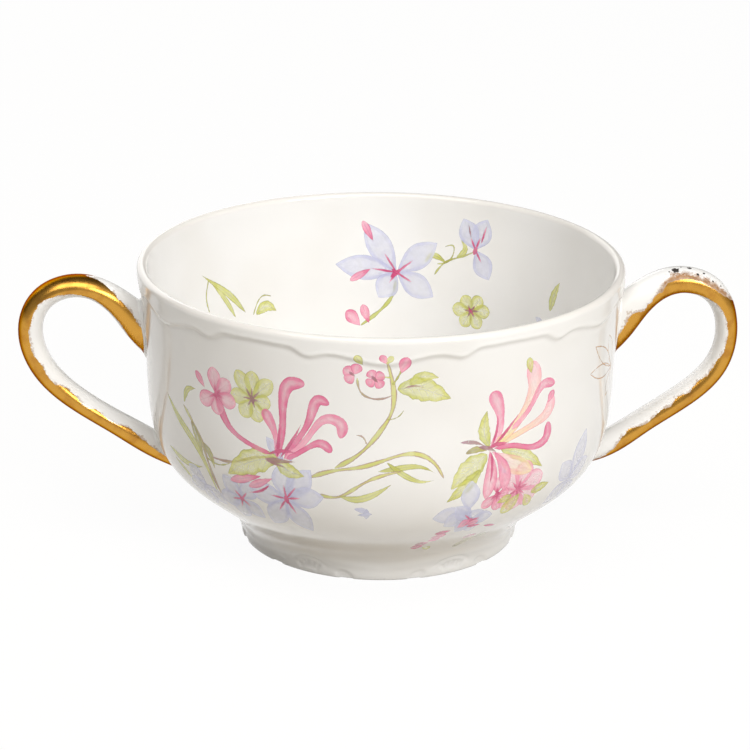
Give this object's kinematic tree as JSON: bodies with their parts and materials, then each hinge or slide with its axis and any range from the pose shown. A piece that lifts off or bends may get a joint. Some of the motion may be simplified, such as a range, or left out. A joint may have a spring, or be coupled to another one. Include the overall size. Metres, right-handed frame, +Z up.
{
  "type": "bouillon cup",
  "caption": "Round porcelain cup on a low foot ring with a looped strap handle on each side, a scalloped moulded rim and foot, painted flower sprays and worn gilt handles.",
  "frame": {"origin": "centre of the foot ring's resting face, on the bowl's axis", "axes": "+Z up along the bowl's axis, +X out through the right handle as the picture shows it, -Y towards the viewer"},
  "size_m": [0.1447, 0.097, 0.0572],
  "materials": {
    "porcelain": "clear glossy glaze over a warm white body, with painted flowers and worn gilding on the handles"
  },
  "bodies": {
    "root": {"bouillon_cup": "porcelain"}
  },
  "joints": []
}
